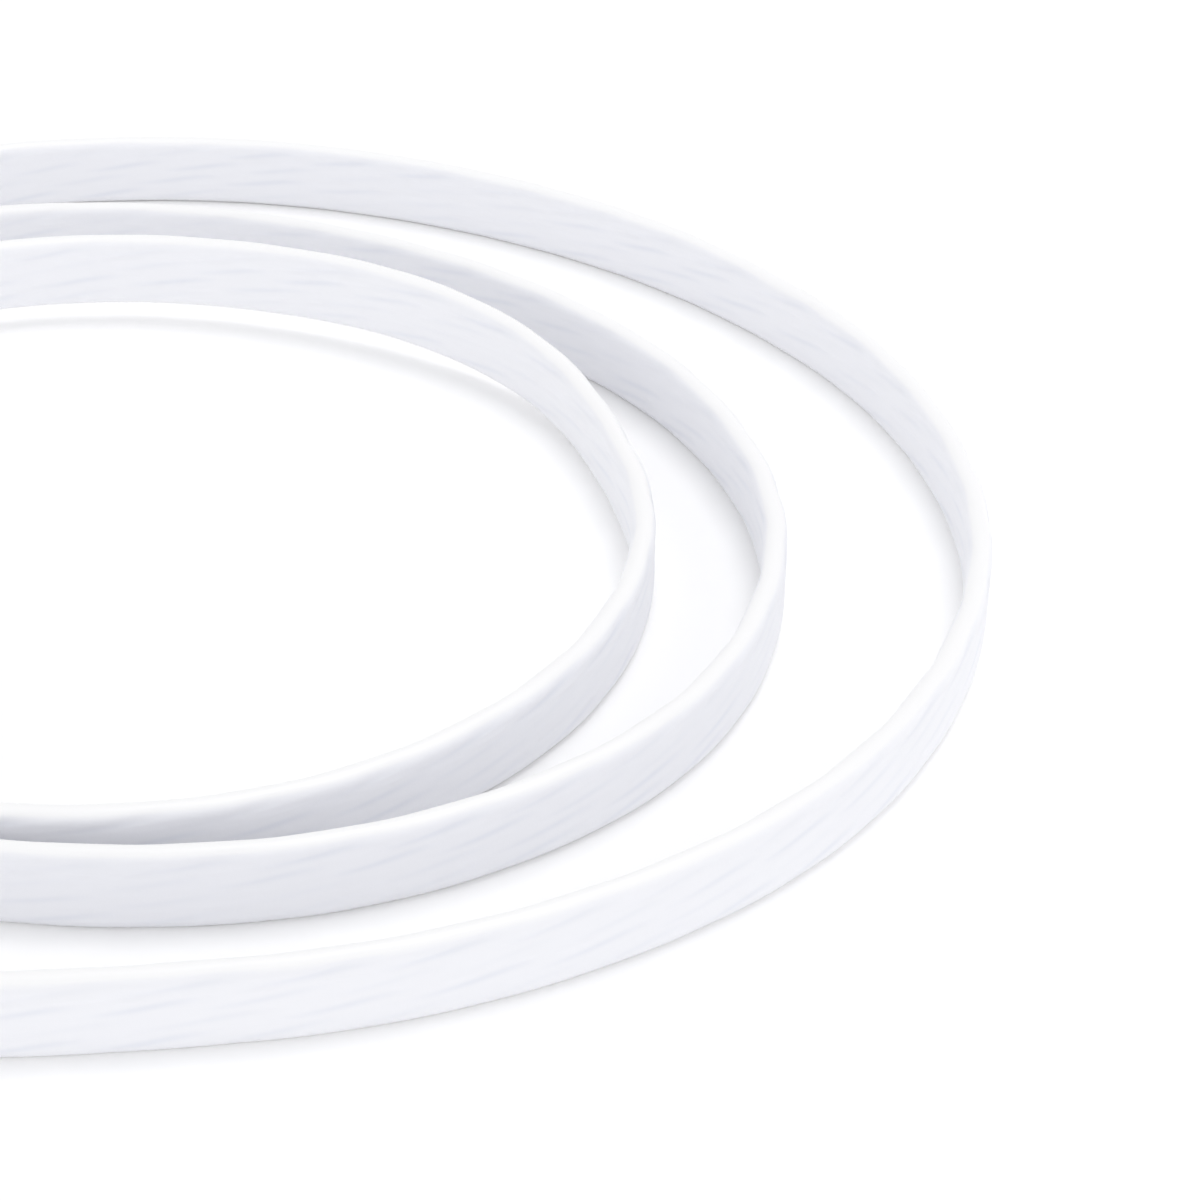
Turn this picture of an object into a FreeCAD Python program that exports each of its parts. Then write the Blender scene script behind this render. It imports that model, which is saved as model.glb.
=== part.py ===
import FreeCAD, Part
import math
import os

# Flat shielded network patch cable, loosely wound in a flat spiral of three turns, standing on its edge.
# Both ends carry a shielded eight-contact modular plug that lies on its side, so the cable's wide
# direction is upright there too. Z is up and the floor is z = 0. The origin is midway between the plugs.

Vector = FreeCAD.Vector

# Cable
cable_width = 8.0
cable_thick = 2.2
foot_depth = 0.5
wire_dia = 0.8
core_dia = 0.26
pair_pitch = 1.9
foil_wall = 0.06
wire_gap = 0.02
drain_dia = 0.4
wire_sides = 8
corner_steps = 2

# Loose spiral: turn 0 is at the left of the innermost turn, and turns count clockwise from above
coil_x = 54.7
coil_y = 11.0
coil_drift_x = 2.4
coil_drift_y = 3.2
inner_radius = 48.5
turn_growth = 3.5
growth_rise = 3.23
oval = 4.9
oval_angle = -29.3
first_turn = 0.45
last_turn = 2.75
arcs_per_turn = 4

# Plug body
plug_length = 21.46
plug_width = 11.68
latch_side = 3.6
front_height = 6.6
rear_height = 8.0
nose_length = 2.2
step_start = 8.4
edge_round = 0.5
contact_count = 8
contact_pitch = 1.02

# Contacts
blade_thick = 0.35
blade_start = 1.3
blade_length = 6.1
blade_drop = 0.6
blade_body = 1.9
blade_round = 0.6
blade_open = 1.0
tine_margin = 0.3
tine_width = 0.9
tine_point = 0.3
slot_fit = 0.06

# Inside of the plug
wire_front = 1.2
fan_gap = 0.6
foil_gap = 0.5
hop_height = 0.95
hop_ramp = 0.85
hop_share = 0.24
bore_fit = 0.05
cavity_start = 9.0
cavity_width = 9.3
cavity_low = 1.4
cavity_high = 1.75
bar_start = 9.1
bar_length = 4.2
bar_fit = 0.05
bar_high = 1.3
jacket_inside = 2.66
foil_length = 1.2
drain_reach = 0.8
drain_back = 7.6
drain_low = 0.62

# Metal shell
shell_wall = 0.25
shell_fit = 0.02
corner_outer = 0.4
crimp_gap = 0.84
crimp_length = 4.6
crimp_fit = 0.05
crimp_seam = 1.0
neck_width = 5.0
spring_start = 10.6
spring_length = 4.6
spring_width = 2.0
spring_slit = 0.35
spring_bulge = 0.22

# Latch
latch_root_x = 1.6
latch_root_drop = 0.55
latch_thick = 0.9
latch_angle = 11.0
latch_wide = 6.2
latch_narrow = 3.25
latch_shoulder = 8.4
latch_short = 1.66
lug_front = 0.25
lug_depth = 1.15
shoulder_rise = 0.5
hinge_fit = 0.1
grip_ribs = 3
grip_pitch = 1.1
grip_size = 0.3
tip_room = 1.0

# Moulded boot
boot_overlap = 4.26
boot_straight = 7.4
boot_length = 20.8
boot_width = 12.6
boot_wall = 0.6
boot_round = 1.6
tail_width = 10.4
tail_height = 5.0
tail_round = 1.8
boot_fit = 0.05
rib_count = 5
rib_offset = 10.0
rib_pitch = 2.1
rib_slot = 0.9
rib_depth = 1.1
wing_thick = 1.1
wing_gap = 0.5
wing_reach = 2.6
wing_drop = 4.7
wing_back = 3.4
wing_lip = 1.5
wing_slope = 1.8
cord_inset = 2.0

# Where the plugs lie: plug A's cable leaves its boot here, and plug B is plug A turned half round
exit_x = 19.9
exit_y = 9.5
exit_heading = 120.0

# Free stretches, as points that the cable turns at; heights are those of the cable's middle
rest_z = cable_width / 2
plug_z = boot_width / 2
inner_route = [
    (13.9, 19.9, plug_z),
    (13.4, 34.4, plug_z),
    (20.3, 47.6, plug_z),
    (33.6, 56.6, plug_z),
    (52.5, 60.5, plug_z),
    (69.0, 58.5, plug_z - 0.2),
    (83.4, 53.0, rest_z + 1.2),
]
outer_route = [
    (18.2, -50.9, rest_z + 0.3),
    (0.0, -37.7, rest_z + 1.4),
    (-13.9, -19.9, plug_z),
]
inner_last_run = 12.0
outer_first_run = 14.0
run_share = 0.45

# Worked out from the sizes above
band_round = cable_thick / 2
boot_start = plug_length - boot_overlap
boot_end = boot_start + boot_length
rib_start = boot_start + rib_offset
latch_end = plug_length - latch_short
jacket_start = plug_length - jacket_inside
fan_start = bar_start + bar_length + fan_gap
fan_end = jacket_start - foil_length - foil_gap
crimp_start = plug_length + crimp_gap
front_top = front_height - latch_side
rear_top = rear_height - latch_side
blade_top = front_top - blade_drop
root_z = -latch_side - latch_root_drop
lug_low = -latch_side - lug_depth
corner_inner = corner_outer - shell_wall
crimp_end = crimp_start + crimp_length
crimp_half = cable_width / 2 + crimp_fit
crimp_low = -band_round - crimp_fit
crimp_high = band_round + wire_gap + drain_dia + crimp_fit
boot_low = -latch_side - boot_fit - boot_wall
boot_high = rear_top + boot_fit + boot_wall


def block(x0, x1, y0, y1, z0, z1):
    return Part.makeBox(x1 - x0, y1 - y0, z1 - z0, Vector(x0, y0, z0))


def fuse(shapes):
    joined = shapes[0]
    if len(shapes) > 1:
        joined = shapes[0].multiFuse(shapes[1:])
    return joined.removeSplitter()


def closed(points):
    """Closed wire through points, leaving out any that repeats the one before it."""
    kept = []
    for point in points:
        if not kept or (point - kept[-1]).Length > 1e-6:
            kept.append(point)
    if (kept[0] - kept[-1]).Length < 1e-6:
        kept.pop()
    return Part.makePolygon(kept + kept[:1])


def round_corners(half_y, z0, z1, radius):
    """Side and height points of an outline whose corners are rounded by short flats."""
    middles = [
        (half_y - radius, z1 - radius),
        (radius - half_y, z1 - radius),
        (radius - half_y, z0 + radius),
        (half_y - radius, z0 + radius),
    ]
    points = []
    for quarter, (y, z) in enumerate(middles):
        for step in range(corner_steps + 1):
            angle = math.radians(90 * (quarter + step / corner_steps))
            points.append((y + radius * math.cos(angle), z + radius * math.sin(angle)))
    return points


def rod_block(x0, x1, half_y, z0, z1, radius):
    """Straight bar with a round-cornered section along the plug's length."""
    corners = round_corners(half_y, z0, z1, radius)
    outline = closed([Vector(x0, y, z) for y, z in corners])
    return Part.Face(outline).extrude(Vector(x1 - x0, 0, 0))


def skin(rings):
    """Solid through rings of as many points each, with flat sides and flat ends."""
    faces = [Part.Face(closed(rings[0])), Part.Face(closed(rings[-1]))]
    for ring, follow in zip(rings, rings[1:]):
        for index in range(len(ring)):
            after = (index + 1) % len(ring)
            faces.append(Part.Face(closed([ring[index], ring[after], follow[after], follow[index]])))
    solid = Part.Solid(Part.Shell(faces))
    if solid.Volume < 0:
        solid.reverse()
    return solid


def many_sided(centre, radius):
    """Ring of flats round a circle, square to the plug's length."""
    corner = radius / math.cos(math.pi / wire_sides)
    points = []
    for index in range(wire_sides):
        angle = 2 * math.pi * (index + 0.5) / wire_sides
        points.append(centre + Vector(0, corner * math.cos(angle), corner * math.sin(angle)))
    return points


def wire_rod(points, radius):
    """Wire whose sections stay square to the plug's length where it changes direction."""
    return skin([many_sided(point, radius) for point in points])


def band_profile(origin, across, foot=0.0):
    """Closed wire of the flat cable's section at a point, cut level at its foot if it stands on one."""
    floor = -cable_width / 2
    corners = round_corners(band_round, floor - foot, cable_width / 2, band_round)
    points = []
    for (u0, v0), (u1, v1) in zip(corners, corners[1:] + corners[:1]):
        if v0 >= floor:
            points.append((u0, v0))
        if (v0 - floor) * (v1 - floor) < 0:
            share = (floor - v0) / (v1 - v0)
            points.append((u0 + (u1 - u0) * share, floor))
    return closed([origin + across * u + Vector(0, 0, v) for u, v in points])


def corner_arc(start, corner, end):
    """Arc tangent to both legs of a corner whose legs are equally long."""
    leg_in = (corner - start).normalize()
    leg_out = (end - corner).normalize()
    half = leg_in.getAngle(leg_out) / 2
    radius = (corner - start).Length / math.tan(half)
    inward = (leg_out - leg_in).normalize()
    middle = corner + inward * (radius / math.cos(half) - radius)
    return Part.Arc(start, middle, end).toShape(), radius


def rounded_path(points):
    """Straight runs joined by tangent arcs, each as large as its two runs allow."""
    edges = []
    radii = []
    at = points[0]
    for before, corner, after in zip(points, points[1:], points[2:]):
        leg = run_share * min((corner - before).Length, (after - corner).Length)
        start = corner + (before - corner).normalize() * leg
        end = corner + (after - corner).normalize() * leg
        arc, radius = corner_arc(start, corner, end)
        edges.append(Part.LineSegment(at, start).toShape())
        edges.append(arc)
        radii.append(radius)
        at = end
    edges.append(Part.LineSegment(at, points[-1]).toShape())
    return Part.Wire(edges), radii


def coil_point(turn):
    """Middle line of the spiral on the floor."""
    angle = math.radians(180 - 360 * turn)
    radius = inner_radius + turn_growth * turn + growth_rise * turn ** 2
    radius += oval * math.cos(2 * (angle - math.radians(oval_angle)))
    x = coil_x + coil_drift_x * turn + radius * math.cos(angle)
    y = coil_y + coil_drift_y * turn + radius * math.sin(angle)
    return Vector(x, y, rest_z)


def coil_heading(turn):
    step = 1e-4
    return (coil_point(turn + step) - coil_point(turn - step)).normalize()


def biarc(p0, t0, p1, t1):
    """Two arcs that leave p0 along t0, meet smoothly and reach p1 along t1."""
    span = p1 - p0
    both = t0 + t1
    bend = 2 * (1 - t0.dot(t1))
    along = span.dot(both)
    leg = (math.sqrt(along ** 2 + bend * span.dot(span)) - along) / bend
    first = p0 + t0 * leg
    second = p1 - t1 * leg
    middle = (first + second) * 0.5
    return [corner_arc(p0, first, middle)[0], corner_arc(middle, second, p1)[0]]


def coil_ends():
    """Where the spiral's straight ends stop, one cable width past its first and last arcs."""
    start = coil_point(first_turn) - coil_heading(first_turn) * cable_width
    end = coil_point(last_turn) + coil_heading(last_turn) * cable_width
    return start, end


def coil_path():
    start, end = coil_ends()
    steps = round((last_turn - first_turn) * arcs_per_turn)
    turns = [first_turn + (last_turn - first_turn) * i / steps for i in range(steps + 1)]
    edges = [Part.LineSegment(start, coil_point(turns[0])).toShape()]
    for a, b in zip(turns, turns[1:]):
        edges += biarc(coil_point(a), coil_heading(a), coil_point(b), coil_heading(b))
    edges.append(Part.LineSegment(coil_point(turns[-1]), end).toShape())
    return Part.Wire(edges)


def coil_gap():
    """Least space between one turn and the next, measured on points of the middle line."""
    count = round((last_turn - first_turn) * 180)
    turns = [first_turn + (last_turn - first_turn) * i / count for i in range(count + 1)]
    spots = [coil_point(t) for t in turns]
    least = min(
        spots[i].distanceToPoint(spots[j])
        for i in range(len(spots))
        for j in range(i + 90, len(spots))
    )
    return least - cable_thick


def report_volume(name, solid, path, outline):
    expected = Part.Face(outline).Area * path.Length
    share = round(solid.Volume / expected, 4)
    print(name, "length", round(path.Length, 1), "mm, volume", share, "of section x length")


def cable_coil():
    path = coil_path()
    start = coil_ends()[0]
    across = coil_heading(first_turn).cross(Vector(0, 0, 1))
    outline = band_profile(start, across, foot_depth)
    solid = path.makePipeShell([outline], True, False)
    report_volume("coil", solid, path, outline)
    print("least gap between turns", round(coil_gap(), 2), "mm")
    return solid


def upright_band(name, points):
    """Free stretch of the flat cable that keeps its wide direction upright."""
    path, radii = rounded_path(points)
    across = (points[1] - points[0]).normalize().cross(Vector(0, 0, 1)).normalize()
    outline = band_profile(points[0], across)
    pipe = Part.BRepOffsetAPI.MakePipeShell(path)
    pipe.setBiNormalMode(Vector(0, 0, 1))
    pipe.add(outline)
    pipe.build()
    pipe.makeSolid()
    solid = pipe.shape()
    report_volume(name, solid, path, outline)
    print(name, "bend radii", [round(r, 1) for r in radii])
    return solid


def heading(degrees):
    return Vector(math.cos(math.radians(degrees)), math.sin(math.radians(degrees)), 0)


def turned(point):
    """The same point half a turn round the origin."""
    return Vector(-point.x, -point.y, point.z)


def lead_start():
    """Middle of the cable a little inside the boot of plug A."""
    return Vector(exit_x, exit_y, plug_z) - heading(exit_heading) * cord_inset


def inner_points():
    """Route of the free stretch from plug A round to the start of the coil."""
    start = coil_ends()[0]
    last = start - coil_heading(first_turn) * inner_last_run
    return [lead_start()] + [Vector(*p) for p in inner_route] + [last, start]


def outer_points():
    """Route of the free stretch from the end of the coil to plug B."""
    end = coil_ends()[1]
    first = end + coil_heading(last_turn) * outer_first_run
    return [end, first] + [Vector(*p) for p in outer_route] + [turned(lead_start())]


def side_prism(outline, half_width):
    """Prism of a side view, given as length and height points, centred across the plug."""
    corners = [Vector(x, -half_width, z) for x, z in outline]
    face = Part.Face(Part.makePolygon(corners + corners[:1]))
    return face.extrude(Vector(0, 2 * half_width, 0))


def pin_places():
    """Sideways place of each contact, pin 1 first."""
    first = -contact_pitch * (contact_count - 1) / 2
    return [first + contact_pitch * i for i in range(contact_count)]


def cross_rod(x, z, radius, half_width):
    return Part.makeCylinder(radius, 2 * half_width, Vector(x, -half_width, z), Vector(0, 1, 0))


def wire_bores(x0, x1):
    radius = wire_dia / 2 + bore_fit
    return [wire_rod([Vector(x0, y, 0), Vector(x1, y, 0)], radius) for y in pin_places()]


def plug_housing():
    inner_half = plug_width / 2 - shell_wall - shell_fit
    nose = block(0, nose_length, -plug_width / 2, plug_width / 2, -latch_side, front_top)
    front_edges = [e for e in nose.Edges if all(abs(v.Point.x) < 1e-6 for v in e.Vertexes)]
    nose = nose.makeChamfer(edge_round, front_edges)
    middle = block(nose_length, step_start, -inner_half, inner_half, -latch_side, front_top)
    low = -latch_side + shell_wall + shell_fit
    high = rear_top - shell_wall - shell_fit
    rear = rod_block(step_start, plug_length, inner_half, low, high, corner_inner)
    lug = block(lug_front, latch_root_x, -latch_wide / 2, latch_wide / 2, lug_low, -latch_side)
    body = fuse([nose, middle, rear, lug])
    cuts = [cross_rod(latch_root_x, root_z, latch_thick / 2 + hinge_fit, latch_wide)]
    half_slot = blade_thick / 2 + slot_fit
    for y in pin_places():
        slot_front = blade_start - slot_fit
        slot_back = blade_start + blade_length + slot_fit
        cuts.append(block(slot_front, slot_back, y - half_slot, y + half_slot, -slot_fit, rear_height))
        cuts.append(block(-1, slot_front, y - half_slot, y + half_slot, blade_top - blade_open, rear_height))
    cuts += wire_bores(wire_front, cavity_start + 1)
    half = cavity_width / 2
    cuts.append(block(cavity_start, plug_length + 1, -half, half, -cavity_low, cavity_high))
    return body.cut(fuse(cuts))


def contact_blade(y):
    """Flat blade with a rounded front corner and two pointed tines that pierce the wire."""
    x0 = blade_start
    x1 = blade_start + blade_length
    bottom = blade_top - blade_body
    margin = tine_margin
    outline = [(x0 + blade_round, blade_top), (x1, blade_top), (x1, bottom)]
    for start in (x1 - margin, x0 + margin + tine_width):
        outline.append((start, bottom))
        outline.append((start, tine_point))
        outline.append((start - tine_width / 2, 0))
        outline.append((start - tine_width, tine_point))
        outline.append((start - tine_width, bottom))
    outline += [(x0, bottom), (x0, blade_top - blade_round)]
    points = [Vector(x, y - blade_thick / 2, z) for x, z in outline]
    edges = [Part.LineSegment(a, b).toShape() for a, b in zip(points, points[1:])]
    s = blade_round * (1 - math.sqrt(0.5))
    middle = Vector(x0 + s, y - blade_thick / 2, blade_top - s)
    edges.append(Part.Arc(points[-1], middle, points[0]).toShape())
    return Part.Face(Part.Wire(edges)).extrude(Vector(0, blade_thick, 0))


def plug_contacts():
    return Part.Compound([contact_blade(y) for y in pin_places()])


def plug_load_bar():
    half = cavity_width / 2 - bar_fit
    bar = block(bar_start, bar_start + bar_length, -half, half, -cavity_low + bar_fit, bar_high)
    return bar.cut(fuse(wire_bores(bar_start - 1, bar_start + bar_length + 1)))


def pair_place(pair, side):
    """Sideways place of one wire of a pair where the jacket ends; pairs lie side by side."""
    middle = (pair - 1.5) * pair_pitch
    return middle + side * (wire_dia + wire_gap) / 2


def wire_route(pin, pair, side):
    """From under the contacts, straight through the load bar, then over to the wire's pair."""
    y0 = pin_places()[pin - 1]
    y1 = pair_place(pair, side)
    points = [Vector(wire_front, y0, 0), Vector(fan_start, y0, 0)]
    if pin == hop_pin:
        rise = (y0 - y1) * hop_share
        points.append(Vector(fan_start + hop_ramp, y0 - rise, hop_height))
        points.append(Vector(fan_end - hop_ramp, y1 + rise, hop_height))
    points.append(Vector(fan_end, y1, 0))
    points.append(Vector(jacket_start, y1, 0))
    return points


# Wire name and pin number, two wires to a pair, in the order that the pairs lie in the cable
pairs = [
    (("white_orange", 1), ("orange", 2)),
    (("white_green", 3), ("green", 6)),
    (("blue", 4), ("white_blue", 5)),
    (("white_brown", 7), ("brown", 8)),
]
hop_pin = 6


def plug_wires(contacts):
    """Each wire's insulation, and the conductor cores where the contacts pierce them."""
    covers = {}
    cores = []
    for order, pair in enumerate(pairs):
        for side, (name, pin) in zip((-1, 1), pair):
            route = wire_route(pin, order, side)
            core = wire_rod(route[:2], core_dia / 2)
            covers["wire_" + name] = wire_rod(route, wire_dia / 2).cut(core).cut(contacts)
            cores.append(core.cut(contacts))
    return covers, Part.Compound(cores)


def pair_ring(x, order, room):
    """Ring of flats round both wires of a pair, with room between it and them."""
    left, right = (
        many_sided(Vector(x, pair_place(order, side), 0), wire_dia / 2 + room) for side in (-1, 1)
    )
    quarter = wire_sides // 4
    return right[:quarter] + left[quarter:-quarter] + right[-quarter:]


def plug_foils():
    """A foil sleeve round each pair, showing where the jacket ends."""
    sleeves = []
    ends = (jacket_start - foil_length, jacket_start)
    for order in range(len(pairs)):
        outer = skin([pair_ring(x, order, wire_gap + foil_wall) for x in ends])
        inner = skin([pair_ring(x, order, wire_gap) for x in ends])
        sleeves.append(outer.cut(inner))
    return Part.Compound(sleeves)


def plug_drain_wire():
    """Bare wire that leaves the jacket's end and folds back along its flat side."""
    low = drain_low
    high = band_round + drain_dia / 2 + wire_gap
    front = jacket_start - drain_reach
    middle = (low + high) / 2
    radius = (high - low) / 2
    start = Vector(jacket_start, 0, low)
    turn_in = Vector(front, 0, low)
    turn_out = Vector(front, 0, high)
    edges = [
        Part.LineSegment(start, turn_in).toShape(),
        Part.Arc(turn_in, Vector(front - radius, 0, middle), turn_out).toShape(),
        Part.LineSegment(turn_out, Vector(jacket_start + drain_back, 0, high)).toShape(),
    ]
    ring = closed(many_sided(start, drain_dia / 2))
    return Part.Wire(edges).makePipeShell([ring], True, False)


def spring_tab(side):
    """Bowed strip of the shell's side, free at its rear end."""
    y0 = plug_width / 2
    x0 = spring_start
    x1 = spring_start + spring_length
    xm = (x0 + x1) / 2
    outer = (Vector(x0, y0, 0), Vector(xm, y0 + spring_bulge, 0), Vector(x1, y0, 0))
    drop = Vector(0, -shell_wall, 0)
    inner = [p + drop for p in outer]
    edges = [
        Part.Arc(outer[0], outer[1], outer[2]).toShape(),
        Part.LineSegment(outer[2], inner[2]).toShape(),
        Part.Arc(inner[2], inner[1], inner[0]).toShape(),
        Part.LineSegment(inner[0], outer[0]).toShape(),
    ]
    tab = Part.Face(Part.Wire(edges)).extrude(Vector(0, 0, spring_width))
    tab.translate(Vector(0, 0, -spring_width / 2))
    if side < 0:
        tab = tab.mirror(Vector(0, 0, 0), Vector(0, 1, 0))
    return tab


def plug_shell():
    half = plug_width / 2
    inner_half = half - shell_wall
    low = -latch_side
    start = nose_length + shell_fit
    outer = rod_block(start, plug_length, half, low, rear_top, corner_outer)
    front_cut = block(start - 1, step_start, -half - 1, half + 1, front_top, rear_height)
    open_front = block(start - 1, step_start, -inner_half, inner_half, low - 1, rear_height)
    high = rear_top - shell_wall
    inside = rod_block(start, plug_length, inner_half, low + shell_wall, high, corner_inner)
    shell = outer.cut(fuse([front_cut, open_front, inside]))
    sleeve_outer = rod_block(crimp_start, crimp_end, crimp_half + shell_wall,
                             crimp_low - shell_wall, crimp_high + shell_wall, band_round)
    sleeve_inner = rod_block(crimp_start, crimp_end, crimp_half,
                             crimp_low, crimp_high, band_round - shell_wall)
    seam = block(crimp_start, crimp_end, -crimp_seam / 2, crimp_seam / 2, crimp_low - 1, 0)
    sleeve = sleeve_outer.cut(fuse([sleeve_inner, seam]))
    half_neck = neck_width / 2
    drop = block(plug_length, plug_length + shell_wall, -half_neck, half_neck, crimp_high, rear_top)
    bridge = block(plug_length, crimp_start, -half_neck, half_neck, crimp_high, crimp_high + shell_wall)
    shell = fuse([shell, drop, bridge, sleeve])
    half_window = spring_width / 2 + spring_slit
    x1 = spring_start + spring_length + spring_slit
    kept = inner_half - shell_wall
    window = block(spring_start, x1, -half - 1, half + 1, -half_window, half_window)
    core = block(spring_start, x1, -kept, kept, -half_window, half_window)
    return fuse([shell.cut(window.cut(core)), spring_tab(1), spring_tab(-1)])


def plug_latch():
    """Springy tab hinged at the nose: a wedge with locking shoulders, then a narrow finger tab."""
    slope = math.cos(math.radians(latch_angle))
    shoulder = (latch_shoulder - latch_root_x) / slope
    end = (latch_end - latch_root_x) / slope
    half = latch_thick / 2
    peak = -half - shoulder_rise
    wedge = side_prism([(0, half), (shoulder, half), (shoulder, peak), (0, -half)], latch_wide / 2)
    tab = side_prism([(0, half), (end, half), (end, -half), (0, -half)], latch_narrow / 2)
    pieces = [wedge, tab, cross_rod(0, 0, half, latch_wide / 2)]
    for rib in range(grip_ribs):
        pieces.append(cross_rod(end - grip_pitch * (rib + 1), -half, grip_size, latch_narrow / 2))
    latch = fuse(pieces)
    latch.rotate(Vector(0, 0, 0), Vector(0, 1, 0), latch_angle)
    latch.translate(Vector(latch_root_x, 0, root_z))
    return latch


def boot_section(x, inset=0.0):
    """Outer outline of the boot at a distance along the plug, straight and then tapering."""
    share = max(0.0, (x - boot_start - boot_straight) / (boot_length - boot_straight))
    half_y = boot_width / 2 + (tail_width - boot_width) / 2 * share
    low = boot_low + (-tail_height / 2 - boot_low) * share
    high = boot_high + (tail_height / 2 - boot_high) * share
    radius = boot_round + (tail_round - boot_round) * share
    corners = round_corners(half_y - inset, low + inset, high - inset, radius - inset)
    return [Vector(x, y, z) for y, z in corners]


def boot_groove(x):
    """Ring cut into the boot between two of its ribs."""
    around = block(x, x + rib_slot, -boot_width, boot_width, -boot_width, boot_width)
    return around.cut(skin([boot_section(x, rib_depth), boot_section(x + rib_slot, rib_depth)]))


def plug_boot():
    straight_end = boot_start + boot_straight
    body = skin([boot_section(x) for x in (boot_start, straight_end, boot_end)])
    top = -latch_side - boot_fit
    guard = side_prism([
        (boot_start - wing_reach, top),
        (boot_start - wing_reach, top - wing_lip),
        (boot_start - wing_reach + wing_slope, boot_low - wing_drop),
        (boot_start + wing_back, boot_low - wing_drop),
        (straight_end, boot_low),
        (straight_end, top),
    ], latch_narrow / 2 + wing_gap + wing_thick)
    boot = fuse([body, guard])
    pocket_end = plug_length + shell_wall + boot_fit
    pocket_high = rear_top + boot_fit
    room = shell_wall + boot_fit
    half_cable = cable_width / 2 + boot_fit
    cuts = [
        rod_block(boot_start - 1, pocket_end, plug_width / 2 + boot_fit, top, pocket_high, corner_outer),
        block(pocket_end - 1, crimp_end + boot_fit, -crimp_half - room, crimp_half + room,
              crimp_low - room, crimp_high + room),
        rod_block(crimp_end, boot_end + 1, half_cable, -band_round - boot_fit,
                  band_round + boot_fit, band_round + boot_fit),
        block(boot_start - wing_reach - 1, latch_end + tip_room, -latch_narrow / 2 - wing_gap,
              latch_narrow / 2 + wing_gap, -boot_width, -latch_side),
    ]
    cuts += [boot_groove(rib_start + rib_pitch * i) for i in range(rib_count)]
    return boot.cut(fuse(cuts))


def plug_cable_end():
    """The cable's own end, held in the plug and boot."""
    half = cable_width / 2
    return rod_block(jacket_start, boot_end - cord_inset, half, -band_round, band_round, band_round)


def plug_pieces():
    contacts = plug_contacts()
    wires, cores = plug_wires(contacts)
    pieces = {
        "housing": plug_housing(),
        "contacts": contacts,
        "load_bar": plug_load_bar(),
        "shell": plug_shell(),
        "latch": plug_latch(),
        "boot": plug_boot(),
        "cores": cores,
        "pair_foils": plug_foils(),
        "drain_wire": plug_drain_wire(),
        "cable_end": plug_cable_end(),
    }
    pieces.update(wires)
    return pieces


def plug_placement():
    """Plug A lies on its side: its length runs along the cable and its width is upright."""
    along = heading(exit_heading)
    across = Vector(0, 0, -1)
    up = along.cross(across)
    at = Vector(exit_x, exit_y, plug_z) - along * boot_end
    matrix = FreeCAD.Matrix(
        along.x, across.x, up.x, at.x,
        along.y, across.y, up.y, at.y,
        along.z, across.z, up.z, at.z,
        0, 0, 0, 1,
    )
    return FreeCAD.Placement(matrix)


def cable_length():
    """From one jacket end to the other, along the middle line."""
    ends = 2 * (boot_end - cord_inset - jacket_start)
    leads = sum(rounded_path(points)[0].Length for points in (inner_points(), outer_points()))
    return ends + coil_path().Length + leads


def build():
    nodes = {
        "cable_coil": cable_coil(),
        "cable_inner_lead": upright_band("inner lead", inner_points()),
        "cable_outer_lead": upright_band("outer lead", outer_points()),
    }
    place_a = plug_placement()
    place_b = FreeCAD.Placement(Vector(0, 0, 0), Vector(0, 0, 1), 180).multiply(place_a)
    for name, shape in plug_pieces().items():
        for letter, place in (("a", place_a), ("b", place_b)):
            placed = shape.copy()
            placed.Placement = place.multiply(shape.Placement)
            nodes["plug_" + letter + "_" + name] = placed
    return nodes


os.makedirs("parts", exist_ok=True)
for node, shape in build().items():
    shape.exportStep("parts/" + node + ".step")
    print(node, "solids", len(shape.Solids), "valid", shape.isValid(), "volume", round(shape.Volume, 2))
print("whole length of cable", round(cable_length(), 1), "mm")
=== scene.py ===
import math

import bpy
import numpy as np
from mathutils import Matrix, Vector


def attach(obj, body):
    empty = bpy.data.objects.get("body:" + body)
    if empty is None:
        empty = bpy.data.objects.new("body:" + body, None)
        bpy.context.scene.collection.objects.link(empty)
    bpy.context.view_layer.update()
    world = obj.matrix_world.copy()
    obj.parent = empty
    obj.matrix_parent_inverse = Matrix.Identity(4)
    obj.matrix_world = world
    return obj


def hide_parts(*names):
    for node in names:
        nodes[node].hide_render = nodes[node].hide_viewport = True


# Flat white network cable in a loose coil of three turns, with a shielded plug at each end.
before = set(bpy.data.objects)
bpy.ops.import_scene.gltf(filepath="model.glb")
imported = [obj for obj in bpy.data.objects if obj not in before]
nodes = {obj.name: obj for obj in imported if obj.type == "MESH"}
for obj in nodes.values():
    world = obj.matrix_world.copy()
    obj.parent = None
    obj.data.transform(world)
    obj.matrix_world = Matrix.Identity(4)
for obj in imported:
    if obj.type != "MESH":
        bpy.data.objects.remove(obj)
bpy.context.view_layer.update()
scene = bpy.context.scene

# Cable, in metres; the route's points repeat the frame's own route
cable_width = 0.008
cable_thick = 0.0022
rest_z = 0.004
plug_z = 0.0063
exit_point = Vector((0.0199, 0.0095, plug_z))
exit_inset = Vector((0.001, -0.001732, 0.0))
inner_route = [
    (0.0173, 0.0161, plug_z),
    (0.0151, 0.0326, plug_z),
    (0.0210, 0.0467, plug_z),
    (0.0340, 0.0554, plug_z - 0.0001),
    (0.0524, 0.0593, plug_z - 0.0001),
    (0.0697, 0.0570, plug_z),
    (0.0851, 0.0510, plug_z),
    (0.0979, 0.0419, rest_z + 0.0010),
]
outer_route = [
    (0.0365, -0.0612, rest_z),
    (0.0165, -0.0517, rest_z + 0.0003),
    (-0.0006, -0.0378, rest_z + 0.0014),
    (-0.0148, -0.0191, plug_z),
]
spline_steps = 26
floor_gap = 0.00001

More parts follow.
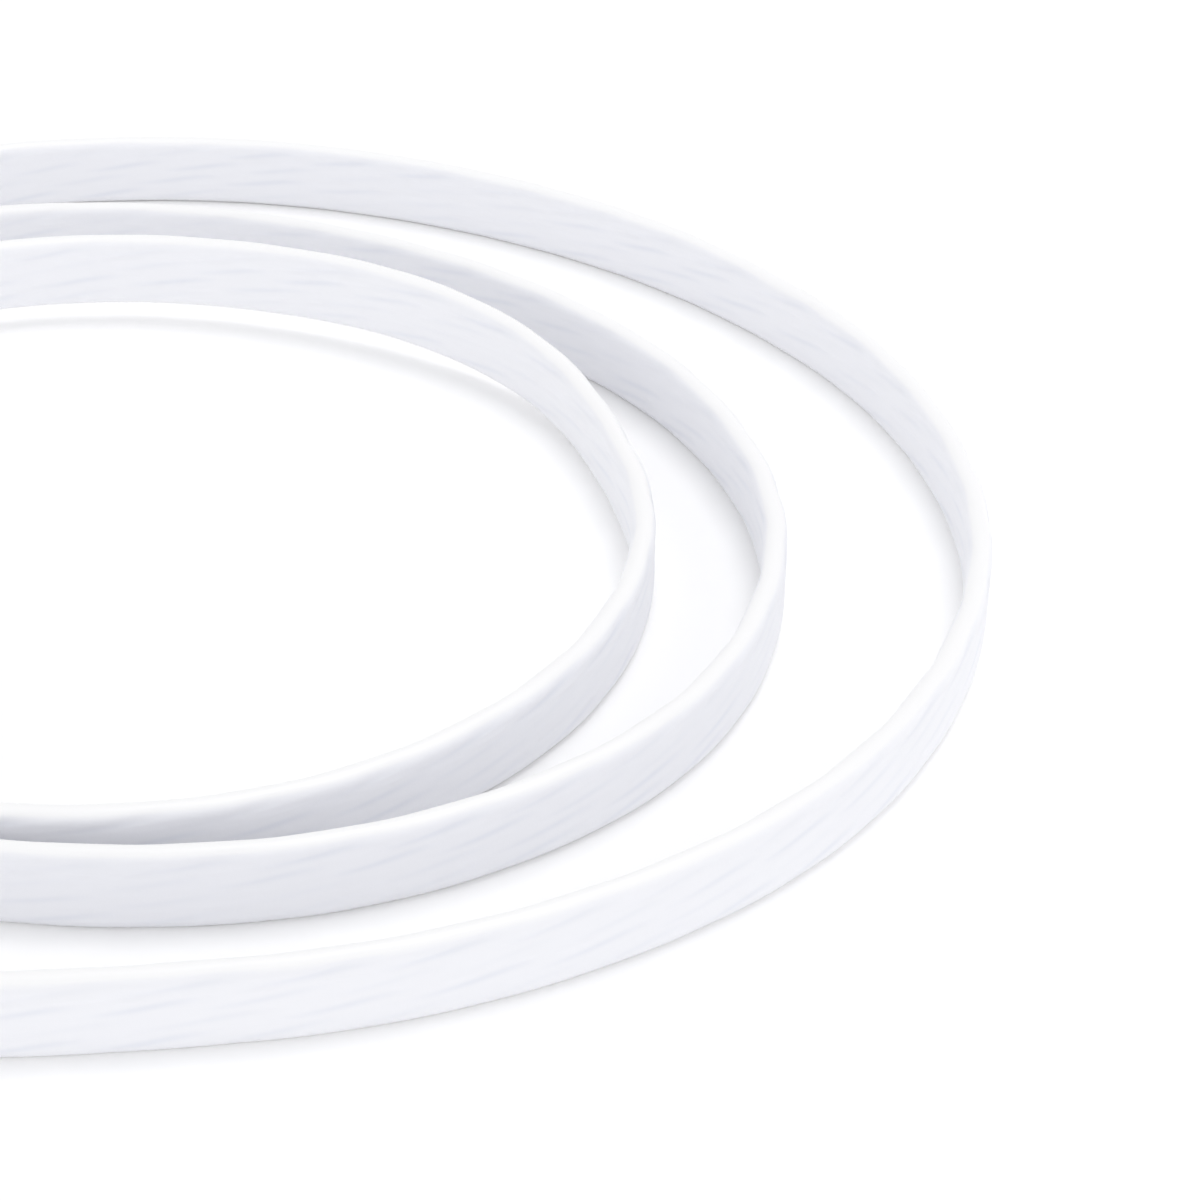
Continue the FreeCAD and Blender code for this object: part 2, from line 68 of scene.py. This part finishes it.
# Coil: an oval spiral whose turns drift and grow; turn 0 is at its left, and turns count clockwise
coil_middle = (0.0547, 0.011)
coil_drift = (0.0024, 0.0032)
inner_radius = 0.0485
turn_growth = 0.0035
growth_rise = 0.00323
oval = 0.0049
oval_angle = math.radians(-29.3)
first_turn = 0.45
last_turn = 2.75
points_per_turn = 14
# Where hands left the coil's points, outwards from its plain spiral, in tenths of a millimetre
coil_nudges = [9, 1, -3, 14, 32, 35, 32, 26, 19, 12, 6, 0, -5, -10, -8, 3, 12]
coil_nudges += [5, -2, -6, -7, -6, -4, -3, -2, -3, -3, -2, 4, 10, 5, -4, 1]
nudge_unit = 0.0001

# The four twisted pairs inside, each with its middle, the length of one twist and its start
pairs = [
    (-0.0026, 0.0197, 0.3),
    (-0.00087, 0.0213, 1.9),
    (0.00087, 0.0188, 4.1),
    (0.0026, 0.0205, 5.2),
]
# How their wires swing and wrap, how much of that shows as relief in the jacket, and the painted
# shade of its creases
wire_swing = 0.00042
wire_wrap = 0.00062
flat_low = -0.00075
flat_high = -0.00042
face_relief = 0.25
top_relief = 0.5
rim_start = 0.0014
# Painted crease shade: how far its streaks swing, how wide they are and how they fade along the
# cable; and the painted level of the flat faces between rim highlight and crease shade
crease_swing = 0.0005
crease_width = 0.0003
grip_lays = 0.31
face_shade = 0.3

# Plugs
plug_heading = math.radians(120)
plug_along = Vector((math.cos(plug_heading), math.sin(plug_heading), 0))
stripe_pitch = 0.0022
stripe_slant = 0.5
weld_reach = 0.000002
flat_within = math.radians(0.6)
edge_over = math.radians(25)
hard_edge = math.radians(40)
round_edge = math.radians(60)
boot_grain = 0.00013
boot_passes = 10
boot_share = 0.14
eased_edges = {
    "shell": 0.00005,
    "housing": 0.00005,
    "load_bar": 0.00004,
    "latch": 0.00008,
    "contacts": 0.00002,
}

# Light
sky_low = 1.17
sky_high = 0.3
sky_knee = 0.55
sky_front = 1.0
sky_rear = 0.75
floor_lift = 0.115
floor_half = 12.0
lamp_power = 2.7
lamp_size = 0.42
lamp_place = Vector((0.28, 0.17, 0.95))
lamp_aim = Vector((0.06, 0.0, 0.0))

# Camera at the photograph's viewpoint
camera_lens = 92.2
camera_sensor = 36.0
camera_aim = Vector((0.10598, 0.00349, 0.0))
camera_rise = math.radians(33.42)
camera_distance = 0.2932
camera_roll = math.radians(0.76)


def coil_point(turn, nudge):
    """A point of the spiral, a little outside the line so that the smooth curve runs on it."""
    angle = math.radians(180 - 360 * turn)
    radius = inner_radius + turn_growth * turn + growth_rise * turn**2
    radius += oval * math.cos(2 * (angle - oval_angle))
    radius = radius / math.cos(math.pi / points_per_turn) + nudge * nudge_unit
    x = coil_middle[0] + coil_drift[0] * turn + radius * math.cos(angle)
    y = coil_middle[1] + coil_drift[1] * turn + radius * math.sin(angle)
    return Vector((x, y, rest_z))


def route_points():
    """The cable's control points, from inside boot A to inside boot B."""
    start = exit_point + exit_inset
    end = Vector((-start.x, -start.y, start.z))
    step = (last_turn - first_turn) / (len(coil_nudges) - 1)
    coil = [coil_point(first_turn + step * i, nudge) for i, nudge in enumerate(coil_nudges)]
    return [start, *map(Vector, inner_route), *coil, *map(Vector, outer_route), end]


def smooth_line(points, steps):
    """Closely spaced points read from one smooth open spline."""
    data = bpy.data.curves.new("cable_line", "CURVE")
    data.dimensions = "3D"
    spline = data.splines.new("NURBS")
    spline.points.add(len(points) - 1)
    for place, point in zip(spline.points, points):
        place.co = (point.x, point.y, point.z, 1.0)
    spline.order_u = 3
    spline.use_endpoint_u = True
    spline.resolution_u = steps
    holder = bpy.data.objects.new("cable_line", data)
    mesh = bpy.data.meshes.new_from_object(holder)
    line = [v.co.copy() for v in mesh.vertices]
    bpy.data.objects.remove(holder)
    bpy.data.curves.remove(data)
    bpy.data.meshes.remove(mesh)
    return line


def band_profile():
    """Points round the cable's section and their outward normals: across the thickness, then up."""
    r = cable_thick / 2
    straight = cable_width / 2 - r
    side_steps = 36
    round_steps = 10
    places = []
    for i in range(side_steps):
        places.append((r, -straight + 2 * straight * i / side_steps, 1.0, 0.0))
    for i in range(round_steps):
        a = math.pi * i / round_steps
        places.append((r * math.cos(a), straight + r * math.sin(a), math.cos(a), math.sin(a)))
    for i in range(side_steps):
        places.append((-r, straight - 2 * straight * i / side_steps, -1.0, 0.0))
    for i in range(round_steps):
        a = math.pi * (1 + i / round_steps)
        places.append((r * math.cos(a), -straight + r * math.sin(a), math.cos(a), math.sin(a)))
    return np.array(places)


def lay_relief(lengths, profile):
    """How far the four twisted pairs inside shape the jacket, and its painted light: a painted
    highlight on the rims and painted shade in the creases.
    """
    u, v, nu, nv = profile.T
    lowest = np.full((len(lengths), len(profile)), flat_low)
    crease_shade = np.zeros((len(lengths), len(profile)))
    for middle, lay, phase in pairs:
        turn = phase - 2 * math.pi * lengths / lay
        grip = 0.6 + 0.4 * np.sin(grip_lays * turn + phase)[:, None]
        for flip in (0.0, math.pi):
            wire_v = middle + wire_swing * np.cos(turn + flip)[:, None]
            wire_u = wire_swing * np.sin(turn + flip)[:, None]
            sideways = (v - wire_v) * nu - (u - wire_u) * nv
            along = wire_u * nu + wire_v * nv - (u * nu + v * nv)
            round_top = np.sqrt(np.clip(wire_wrap**2 - sideways**2, 0, None))
            height = np.where(np.abs(sideways) < wire_wrap, along + round_top, flat_low)
            lowest = np.maximum(lowest, height)
            # Painted shade: a dark streak along the groove between the pair's two wires, on the
            # side that faces out
            between = turn + flip + math.pi / 2
            from_line = v - middle - crease_swing * np.cos(between)[:, None]
            facing = np.clip(np.sin(between)[:, None] * nu, 0, 1)
            mark = np.exp(-((from_line / crease_width) ** 2)) * facing * grip
            crease_shade = np.maximum(crease_shade, mark)
    lowest = np.minimum(lowest, flat_high)
    relief = lowest - lowest.mean(axis=0)
    relief = (np.roll(relief, 1, axis=1) + 2 * relief + np.roll(relief, -1, axis=1)) / 4
    near_top = np.clip((v - rim_start) / (cable_width / 2 - cable_thick / 2 - rim_start), 0, 1)
    # Painted light as one value: 0 on the rounded rims for the painted highlight, face_shade on the
    # flat faces, up to 1 in the creases for painted shade
    shade = np.abs(nu) * (face_shade + (1 - face_shade) * crease_shade)
    return relief * np.abs(nu) ** 3 * (face_relief + top_relief * near_top), shade


def band_mesh(line):
    """The cable's jacket along the line, upright, with the lay of its pairs showing through."""
    profile = band_profile()
    steps = [(b - a).length for a, b in zip(line, line[1:])]
    lengths = np.concatenate([[0.0], np.cumsum(steps)])
    relief, shade = lay_relief(lengths, profile)
    verts = []
    for i, at in enumerate(line):
        ahead = line[min(i + 1, len(line) - 1)] - line[max(i - 1, 0)]
        ahead.normalize()
        across = ahead.cross(Vector((0, 0, 1))).normalized()
        up = across.cross(ahead).normalized()
        for j, (u, v, nu, nv) in enumerate(profile):
            push = relief[i, j]
            spot = at + across * (u + nu * push) + up * (v + nv * push)
            spot.z = max(spot.z, floor_gap)
            verts.append(spot)
    count = len(profile)
    faces = []
    for i in range(len(line) - 1):
        for j in range(count):
            k = (j + 1) % count
            faces.append((i * count + j, i * count + k, (i + 1) * count + k, (i + 1) * count + j))
    last = (len(line) - 1) * count
    faces.append(tuple(reversed(range(count))))
    faces.append(tuple(last + j for j in range(count)))
    mesh = bpy.data.meshes.new("cable_band")
    mesh.from_pydata(verts, [], faces)
    mesh.polygons.foreach_set("use_smooth", [True] * len(mesh.polygons))
    # The jacket's painted rim highlight and crease shade, kept on the mesh for its colour
    painted_highlight_and_shade = mesh.attributes.new("painted_highlight_and_shade", "FLOAT", "POINT")
    painted_highlight_and_shade.data.foreach_set("value", shade.ravel().tolist())
    mesh.update()
    return mesh


class Nodes:
    """Short calls for building one material's nodes."""

    def __init__(self, name):
        self.material = bpy.data.materials.new(name)
        self.material.use_nodes = True
        self.tree = self.material.node_tree
        self.shader = self.tree.nodes["Principled BSDF"]
        self.coords = self.tree.nodes.new("ShaderNodeTexCoord")

    def node(self, kind, **values):
        made = self.tree.nodes.new(kind)
        for key, value in values.items():
            if key.startswith("in_"):
                made.inputs[key[3:].replace("_", " ")].default_value = value
            else:
                setattr(made, key, value)
        return made

    def link(self, source, target):
        self.tree.links.new(source, target)

    def noise(self, scale, detail=3.0, stretch=None):
        made = self.node("ShaderNodeTexNoise", in_Scale=scale, in_Detail=detail)
        if stretch is None:
            self.link(self.coords.outputs["Object"], made.inputs["Vector"])
        else:
            turned = self.node("ShaderNodeMapping", in_Rotation=(0, 0, -plug_heading))
            self.link(self.coords.outputs["Object"], turned.inputs["Vector"])
            place = self.node("ShaderNodeMapping", in_Scale=stretch)
            self.link(turned.outputs["Vector"], place.inputs["Vector"])
            self.link(place.outputs["Vector"], made.inputs["Vector"])
        return made.outputs["Fac"]

    def ramp(self, source, stops):
        made = self.node("ShaderNodeValToRGB")
        ends = made.color_ramp.elements
        while len(ends) < len(stops):
            ends.new(0.5)
        for end, (place, color) in zip(ends, stops):
            end.position = place
            end.color = (*color, 1.0)
        self.link(source, made.inputs["Fac"])
        return made.outputs["Color"]

    def grey_range(self, source, low, high):
        made = self.node("ShaderNodeMapRange")
        made.inputs["To Min"].default_value = low
        made.inputs["To Max"].default_value = high
        self.link(source, made.inputs["Value"])
        return made.outputs["Result"]

    def color(self, socket):
        self.link(socket, self.shader.inputs["Base Color"])

    def rough(self, socket):
        self.link(socket, self.shader.inputs["Roughness"])

    def bump(self, source, depth, strength=0.5):
        made = self.node("ShaderNodeBump", in_Strength=strength, in_Distance=depth)
        self.link(source, made.inputs["Height"])
        self.link(made.outputs["Normal"], self.shader.inputs["Normal"])


def jacket_material():
    """White jacket with a painted highlight on its rounded edges and painted bluish shade in its
    creases, a little patchy in how strongly these show.
    """
    m = Nodes("jacket_white")
    painted_highlight_and_shade = m.node("ShaderNodeAttribute", attribute_name="painted_highlight_and_shade")
    # Painted highlight: the rounded rims are coloured lighter than the faces, as the light from
    # above makes them
    rim_highlight = (0.98, 0.98, 0.985)
    face = (0.932, 0.936, 0.967)
    # Painted shade: bluish-grey colour for the creases between the pairs, where shade falls
    crease_shade = (0.865, 0.878, 0.928)
    stops = [(0.0, rim_highlight), (face_shade * 0.72, rim_highlight), (face_shade * 0.98, face), (1.0, crease_shade)]
    # Random patches in how strongly the painted highlight and painted shade show
    patchy = m.node("ShaderNodeMath", operation="MULTIPLY")
    m.link(painted_highlight_and_shade.outputs["Fac"], patchy.inputs[0])
    m.link(m.grey_range(m.noise(80, 2), 0.8, 1.4), patchy.inputs[1])
    m.color(m.ramp(patchy.outputs["Value"], stops))
    m.rough(m.grey_range(m.noise(900, 4), 0.34, 0.46))
    m.bump(m.noise(5200, 2), 0.00002, 0.25)
    return m.material


def plain_white(name, color, rough, grain, depth):
    m = Nodes(name)
    light = tuple(min(1.0, c * 1.02) for c in color)
    m.color(m.ramp(m.noise(160, 2), [(0.3, color), (0.7, light)]))
    m.rough(m.grey_range(m.noise(grain, 3), *rough))
    m.bump(m.noise(grain * 3, 2), depth, 0.3)
    return m.material


def clear_material():
    m = Nodes("clear_polycarbonate")
    m.color(m.ramp(m.noise(120, 2), [(0.2, (0.93, 0.95, 0.965)), (0.8, (0.97, 0.985, 0.99))]))
    m.rough(m.grey_range(m.noise(700, 2), 0.03, 0.09))
    m.bump(m.noise(300, 2), 0.00003, 0.15)
    m.shader.inputs["Transmission Weight"].default_value = 0.84
    m.shader.inputs["IOR"].default_value = 1.46
    return m.material


def metal(name, light, dark, rough, grain, stretch=None):
    """Polished metal or, where its grain is stretched along the plug, brushed metal."""
    m = Nodes(name)
    m.color(m.ramp(m.noise(grain, 4, stretch), [(0.3, dark), (0.7, light)]))
    m.rough(m.grey_range(m.noise(grain * 1.7, 3, stretch), *rough))
    m.bump(m.noise(grain * 2.3, 2, stretch), 0.00001, 0.3)
    m.shader.inputs["Metallic"].default_value = 1.0
    return m.material


def wire_material(name, color, stripe=None):
    """Wire insulation, of one colour or white with coloured bands along its length."""
    m = Nodes(name)
    dark = tuple(c * 0.85 for c in color)
    tone = m.ramp(m.noise(420, 3), [(0.35, dark), (0.65, color)])
    if stripe:
        along = m.node("ShaderNodeVectorMath", operation="DOT_PRODUCT")
        m.link(m.coords.outputs["Object"], along.inputs[0])
        along.inputs[1].default_value = (plug_along.x, plug_along.y, stripe_slant)
        repeat = m.node("ShaderNodeMath", operation="DIVIDE")
        repeat.inputs[1].default_value = stripe_pitch
        share = m.node("ShaderNodeMath", operation="FRACT")
        m.link(along.outputs["Value"], repeat.inputs[0])
        m.link(repeat.outputs["Value"], share.inputs[0])
        bands = [(0.0, (0, 0, 0)), (0.58, (0, 0, 0)), (0.62, (1, 1, 1))]
        banded = m.ramp(share.outputs["Value"], bands)
        mixed = m.node("ShaderNodeMix", data_type="RGBA")
        m.link(banded, mixed.inputs["Factor"])
        m.link(tone, mixed.inputs["A"])
        mixed.inputs["B"].default_value = (*stripe, 1.0)
        tone = mixed.outputs["Result"]
    m.color(tone)
    m.rough(m.grey_range(m.noise(900, 2), 0.3, 0.45))
    m.bump(m.noise(2600, 2), 0.00002, 0.3)
    return m.material


def give(node, material):
    nodes[node].material_slots[0].material = material


def smooth_group(name, sharpest):
    """Node group that shades smoothly everywhere but over edges sharper than an angle."""
    tree = bpy.data.node_groups.new(name, "GeometryNodeTree")
    tree.interface.new_socket("Geometry", in_out="INPUT", socket_type="NodeSocketGeometry")
    tree.interface.new_socket("Geometry", in_out="OUTPUT", socket_type="NodeSocketGeometry")
    start = tree.nodes.new("NodeGroupInput")
    faces = tree.nodes.new("GeometryNodeSetShadeSmooth")
    edges = tree.nodes.new("GeometryNodeSetShadeSmooth")
    edges.domain = "EDGE"
    edges.inputs["Shade Smooth"].default_value = False
    angle = tree.nodes.new("GeometryNodeInputMeshEdgeAngle")
    over = tree.nodes.new("ShaderNodeMath")
    over.operation = "GREATER_THAN"
    over.inputs[1].default_value = sharpest
    end = tree.nodes.new("NodeGroupOutput")
    tree.links.new(start.outputs[0], faces.inputs["Geometry"])
    tree.links.new(faces.outputs[0], edges.inputs["Geometry"])
    tree.links.new(angle.outputs["Unsigned Angle"], over.inputs[0])
    tree.links.new(over.outputs["Value"], edges.inputs["Selection"])
    tree.links.new(edges.outputs[0], end.inputs[0])
    return tree


def add_modifier(node, name, kind, **values):
    made = nodes[node].modifiers.new(name, kind)
    for key, value in values.items():
        setattr(made, key, value)


def ease_edges(node, width):
    """Rounds a hard piece's edges, as a mould or a press leaves them."""
    add_modifier(node, "joined", "WELD", merge_threshold=weld_reach)
    add_modifier(node, "flats", "DECIMATE", decimate_type="DISSOLVE", angle_limit=flat_within)
    add_modifier(
        node, "eased", "BEVEL", width=width, segments=3, use_clamp_overlap=False,
        limit_method="ANGLE", angle_limit=edge_over,
    )
    add_modifier(node, "shading", "NODES", node_group=hard_shading)
    add_modifier(node, "flat_sides", "WEIGHTED_NORMAL", keep_sharp=True, weight=60)


def ease_flats(node):
    """Shades a round piece's flats as one surface."""
    add_modifier(node, "joined", "WELD", merge_threshold=weld_reach)
    add_modifier(node, "shading", "NODES", node_group=round_shading)


def ease_moulding(node, grain, passes, share):
    """Rounds a soft moulding all over, down to a given size of detail."""
    add_modifier(node, "joined", "WELD", merge_threshold=weld_reach)
    add_modifier(node, "skin", "REMESH", mode="VOXEL", voxel_size=grain, use_smooth_shade=True)
    add_modifier(node, "rounded", "SMOOTH", factor=0.5, iterations=passes)
    add_modifier(node, "lighter", "DECIMATE", decimate_type="COLLAPSE", ratio=share)


# The cable
line = smooth_line(route_points(), spline_steps)
mesh = band_mesh(line)
mesh.materials.append(jacket_material())
cable = bpy.data.objects.new("cable_band", mesh)
scene.collection.objects.link(cable)
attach(cable, "cable")
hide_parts("cable_inner_lead", "cable_coil", "cable_outer_lead")

# The plugs' finishes
boot_white = plain_white(
    "boot_white", (0.87, 0.875, 0.9), rough=(0.38, 0.5), grain=800, depth=0.00003
)
end_white = plain_white(
    "jacket_end_white", (0.9, 0.905, 0.935), rough=(0.36, 0.46), grain=900, depth=0.00002
)
clear = clear_material()
gold = metal("contact_gold", (0.95, 0.76, 0.36), (0.88, 0.66, 0.28), rough=(0.16, 0.3), grain=900)
nickel = metal(
    "shell_nickel", (0.8, 0.79, 0.765), (0.75, 0.74, 0.72), rough=(0.2, 0.32), grain=1400,
    stretch=(0.06, 1, 1),
)
copper = metal("core_copper", (0.93, 0.56, 0.38), (0.8, 0.42, 0.27), rough=(0.2, 0.34), grain=1500)
tinned = metal(
    "drain_tinned", (0.8, 0.79, 0.77), (0.68, 0.67, 0.65), rough=(0.22, 0.36), grain=1500
)
foil = metal("pair_foil", (0.86, 0.87, 0.89), (0.7, 0.72, 0.75), rough=(0.14, 0.34), grain=1100)
finishes = {
    "housing": clear,
    "load_bar": clear,
    "latch": clear,
    "contacts": gold,
    "shell": nickel,
    "boot": boot_white,
    "cores": copper,
    "pair_foils": foil,
    "drain_wire": tinned,
    "cable_end": end_white,
}
wire_colors = {
    "orange": (0.85, 0.3, 0.04),
    "green": (0.04, 0.35, 0.1),
    "blue": (0.04, 0.14, 0.55),
    "brown": (0.24, 0.11, 0.05),
}
for color, tone in wire_colors.items():
    finishes["wire_" + color] = wire_material("wire_" + color, tone)
    banded = wire_material("wire_white_" + color, (0.84, 0.84, 0.85), tone)
    finishes["wire_white_" + color] = banded
hard_shading = smooth_group("hard_piece_shading", hard_edge)
round_shading = smooth_group("round_piece_shading", round_edge)
round_parts = ["cores", "drain_wire", "pair_foils", "cable_end"]
round_parts += [part for part in finishes if part.startswith("wire_")]
for letter in "ab":
    for part, material in finishes.items():
        give(f"plug_{letter}_{part}", material)
    for part, width in eased_edges.items():
        ease_edges(f"plug_{letter}_{part}", width)
    for part in round_parts:
        ease_flats(f"plug_{letter}_{part}")
    ease_moulding(f"plug_{letter}_boot", boot_grain, boot_passes, boot_share)


# Floor, world and lamps; the camera, metal and clear plastic see the background as white
def sees_white(tree):
    """1 for a ray from the camera, off a mirror or through something clear, else 0."""
    rays = tree.nodes.new("ShaderNodeLightPath")
    seen = rays.outputs["Is Camera Ray"]
    for name in ("Is Glossy Ray", "Is Transmission Ray"):
        either = tree.nodes.new("ShaderNodeMath")
        either.operation = "MAXIMUM"
        tree.links.new(seen, either.inputs[0])
        tree.links.new(rays.outputs[name], either.inputs[1])
        seen = either.outputs["Value"]
    return seen


floor = Nodes("floor_white")
floor.shader.inputs["Roughness"].default_value = 0.9
floor.shader.inputs["Specular IOR Level"].default_value = 0.0
floor_tones = [(0.2, (0.975, 0.975, 0.98)), (0.8, (0.985, 0.985, 0.99))]
floor.color(floor.ramp(floor.noise(30, 2), floor_tones))
glow = floor.node("ShaderNodeEmission")
lift = floor.node("ShaderNodeMath", operation="MULTIPLY")
lift.inputs[1].default_value = floor_lift
floor.link(sees_white(floor.tree), lift.inputs[0])
floor.link(lift.outputs["Value"], glow.inputs["Strength"])
both = floor.node("ShaderNodeAddShader")
floor.link(floor.shader.outputs["BSDF"], both.inputs[0])
floor.link(glow.outputs["Emission"], both.inputs[1])
floor.link(both.outputs["Shader"], floor.tree.nodes["Material Output"].inputs["Surface"])
floor_mesh = bpy.data.meshes.new("floor")
corners = [(-floor_half, -floor_half, 0), (floor_half, -floor_half, 0)]
corners += [(floor_half, floor_half, 0), (-floor_half, floor_half, 0)]
floor_mesh.from_pydata(corners, [], [(0, 1, 2, 3)])
floor_mesh.materials.append(floor.material)
floor_object = bpy.data.objects.new("floor", floor_mesh)
scene.collection.objects.link(floor_object)

world = bpy.data.worlds.new("studio")
world.use_nodes = True
tree = world.node_tree
back = tree.nodes["Background"]
back.inputs["Color"].default_value = (0.985, 0.988, 1.0, 1.0)
way = tree.nodes.new("ShaderNodeTexCoord")
split = tree.nodes.new("ShaderNodeSeparateXYZ")
tree.links.new(way.outputs["Generated"], split.inputs["Vector"])
sky = tree.nodes.new("ShaderNodeMapRange")
sky.inputs["From Min"].default_value = sky_knee
sky.inputs["To Min"].default_value = sky_low
sky.inputs["To Max"].default_value = sky_high
tree.links.new(split.outputs["Z"], sky.inputs["Value"])
side = tree.nodes.new("ShaderNodeMapRange")
side.inputs["From Min"].default_value = -1.0
side.inputs["To Min"].default_value = sky_front
side.inputs["To Max"].default_value = sky_rear
tree.links.new(split.outputs["Y"], side.inputs["Value"])
shaped = tree.nodes.new("ShaderNodeMath")
shaped.operation = "MULTIPLY"
tree.links.new(sky.outputs["Result"], shaped.inputs[0])
tree.links.new(side.outputs["Result"], shaped.inputs[1])
level = tree.nodes.new("ShaderNodeMix")
level.inputs["B"].default_value = 1.0
tree.links.new(sees_white(tree), level.inputs["Factor"])
tree.links.new(shaped.outputs["Value"], level.inputs["A"])
tree.links.new(level.outputs["Result"], back.inputs["Strength"])
scene.world = world

lamp_data = bpy.data.lights.new("top_lamp", "AREA")
lamp_data.energy = lamp_power
lamp_data.size = lamp_size
lamp_data.color = (1.0, 0.99, 0.98)
lamp = bpy.data.objects.new("top_lamp", lamp_data)
lamp.location = lamp_place
lamp.rotation_mode = "QUATERNION"
lamp.rotation_quaternion = (lamp_aim - lamp_place).to_track_quat("-Z", "Y")
scene.collection.objects.link(lamp)

# Camera
camera_data = bpy.data.cameras.new("camera")
camera_data.sensor_width = camera_sensor
camera_data.lens = camera_lens
camera_data.clip_start = 0.01
camera_data.clip_end = 50.0
camera = bpy.data.objects.new("camera", camera_data)
away = Vector((0.0, -math.cos(camera_rise), math.sin(camera_rise))) * camera_distance
roll = Matrix.Rotation(camera_roll, 3, "Z").to_quaternion()
camera.location = camera_aim + away
camera.rotation_mode = "QUATERNION"
camera.rotation_quaternion = (-away).to_track_quat("-Z", "Y") @ roll
scene.collection.objects.link(camera)
scene.camera = camera
scene.view_settings.view_transform = "Standard"
